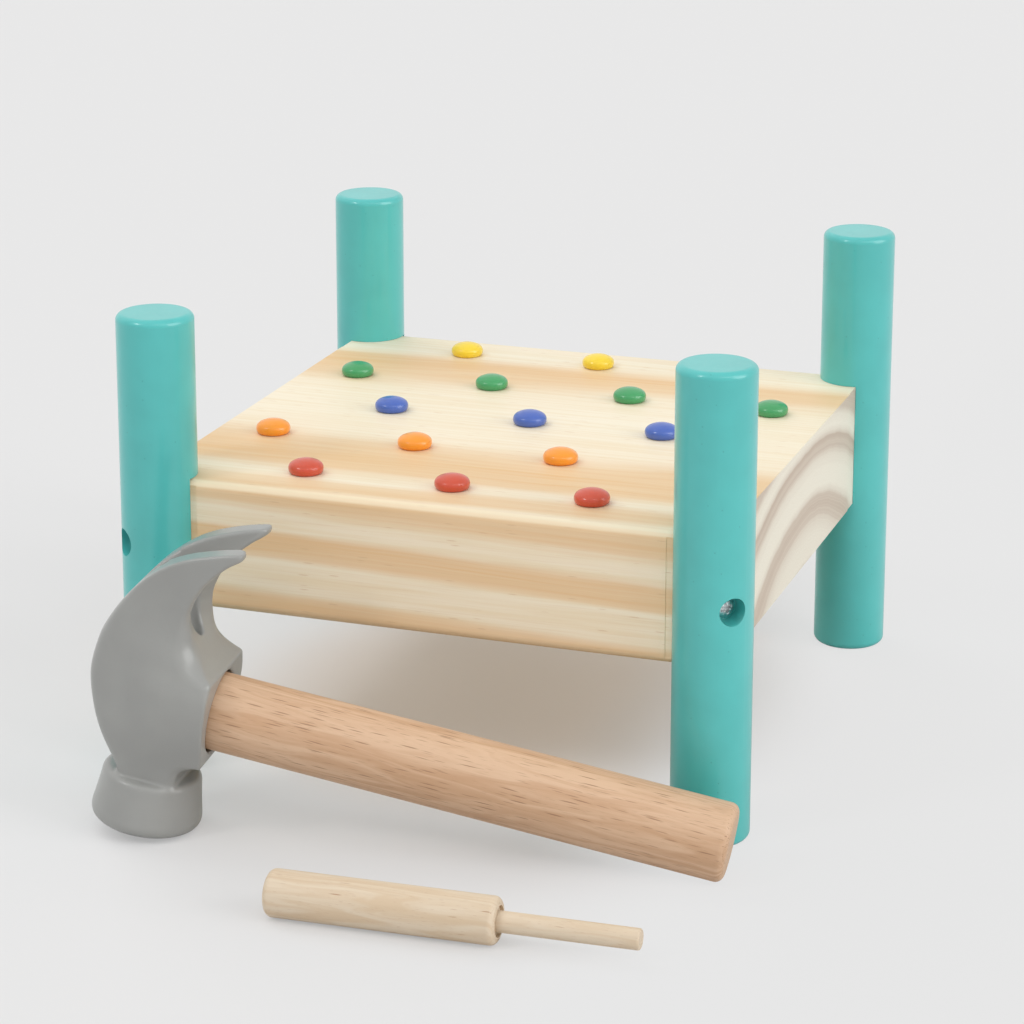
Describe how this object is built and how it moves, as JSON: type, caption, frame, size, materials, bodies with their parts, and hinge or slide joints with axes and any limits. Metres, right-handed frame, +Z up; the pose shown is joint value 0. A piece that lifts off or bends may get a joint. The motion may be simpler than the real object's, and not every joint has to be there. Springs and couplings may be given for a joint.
{
  "type": "peg pounding bench",
  "caption": "Peg pounding bench: a thick pine board on four teal posts, coloured pegs driven into it, a claw hammer and a punch lying in front.",
  "frame": {"origin": "on the floor, under the middle of the set's bounding box", "axes": "+Z up; +X along the bench's front face, to the right as seen from the side where the hammer and the punch lie; +Y from them to the bench's rear"},
  "size_m": [0.2403, 0.339, 0.17],
  "materials": {
    "pine": "planed, waxed",
    "teal_paint": "satin paint",
    "zinc_screw": "satin",
    "yellow_paint": "gloss paint",
    "green_paint": "gloss paint",
    "blue_paint": "gloss paint",
    "orange_paint": "gloss paint",
    "red_paint": "gloss paint",
    "grey_plastic": "satin",
    "beech": "sanded",
    "maple": "sanded"
  },
  "bodies": {
    "bench": {"board": "pine", "post_front_left": "teal_paint", "post_front_right": "teal_paint", "post_rear_left": "teal_paint", "post_rear_right": "teal_paint", "post_screws": "zinc_screw"},
    "yellow_1": {"peg_yellow_1": "yellow_paint"},
    "yellow_2": {"peg_yellow_2": "yellow_paint"},
    "yellow_3": {"peg_yellow_3": "yellow_paint"},
    "green_1": {"peg_green_1": "green_paint"},
    "green_2": {"peg_green_2": "green_paint"},
    "green_3": {"peg_green_3": "green_paint"},
    "green_4": {"peg_green_4": "green_paint"},
    "blue_1": {"peg_blue_1": "blue_paint"},
    "blue_2": {"peg_blue_2": "blue_paint"},
    "blue_3": {"peg_blue_3": "blue_paint"},
    "orange_1": {"peg_orange_1": "orange_paint"},
    "orange_2": {"peg_orange_2": "orange_paint"},
    "orange_3": {"peg_orange_3": "orange_paint"},
    "orange_4": {"peg_orange_4": "orange_paint"},
    "red_1": {"peg_red_1": "red_paint"},
    "red_2": {"peg_red_2": "red_paint"},
    "red_3": {"peg_red_3": "red_paint"},
    "hammer": {"hammer_head": "grey_plastic", "hammer_handle": "beech"},
    "punch": {"punch_grip": "maple", "punch_pin": "maple"}
  },
  "joints": [
    {"name": "yellow_1_slide", "type": "slide", "parent": "bench", "child": "yellow_1", "axis": [0, 0, 1], "range_m": [0, 0.044]},
    {"name": "yellow_2_slide", "type": "slide", "parent": "bench", "child": "yellow_2", "axis": [0, 0, 1], "range_m": [0, 0.044]},
    {"name": "yellow_3_slide", "type": "slide", "parent": "bench", "child": "yellow_3", "axis": [0, 0, 1], "range_m": [0, 0.044]},
    {"name": "green_1_slide", "type": "slide", "parent": "bench", "child": "green_1", "axis": [0, 0, 1], "range_m": [0, 0.044]},
    {"name": "green_2_slide", "type": "slide", "parent": "bench", "child": "green_2", "axis": [0, 0, 1], "range_m": [0, 0.044]},
    {"name": "green_3_slide", "type": "slide", "parent": "bench", "child": "green_3", "axis": [0, 0, 1], "range_m": [0, 0.044]},
    {"name": "green_4_slide", "type": "slide", "parent": "bench", "child": "green_4", "axis": [0, 0, 1], "range_m": [0, 0.044]},
    {"name": "blue_1_slide", "type": "slide", "parent": "bench", "child": "blue_1", "axis": [0, 0, 1], "range_m": [0, 0.044]},
    {"name": "blue_2_slide", "type": "slide", "parent": "bench", "child": "blue_2", "axis": [0, 0, 1], "range_m": [0, 0.044]},
    {"name": "blue_3_slide", "type": "slide", "parent": "bench", "child": "blue_3", "axis": [0, 0, 1], "range_m": [0, 0.044]},
    {"name": "orange_1_slide", "type": "slide", "parent": "bench", "child": "orange_1", "axis": [0, 0, 1], "range_m": [0, 0.044]},
    {"name": "orange_2_slide", "type": "slide", "parent": "bench", "child": "orange_2", "axis": [0, 0, 1], "range_m": [0, 0.044]},
    {"name": "orange_3_slide", "type": "slide", "parent": "bench", "child": "orange_3", "axis": [0, 0, 1], "range_m": [0, 0.044]},
    {"name": "orange_4_slide", "type": "slide", "parent": "bench", "child": "orange_4", "axis": [0, 0, 1], "range_m": [0, 0.044]},
    {"name": "red_1_slide", "type": "slide", "parent": "bench", "child": "red_1", "axis": [0, 0, 1], "range_m": [0, 0.044]},
    {"name": "red_2_slide", "type": "slide", "parent": "bench", "child": "red_2", "axis": [0, 0, 1], "range_m": [0, 0.044]},
    {"name": "red_3_slide", "type": "slide", "parent": "bench", "child": "red_3", "axis": [0, 0, 1], "range_m": [0, 0.044]},
    {"name": "hammer_lift", "type": "slide", "parent": "bench", "child": "hammer", "axis": [0, 0, 1], "range_m": [0, 0.18]},
    {"name": "punch_lift", "type": "slide", "parent": "bench", "child": "punch", "axis": [0, 0, 1], "range_m": [0, 0.18]}
  ]
}
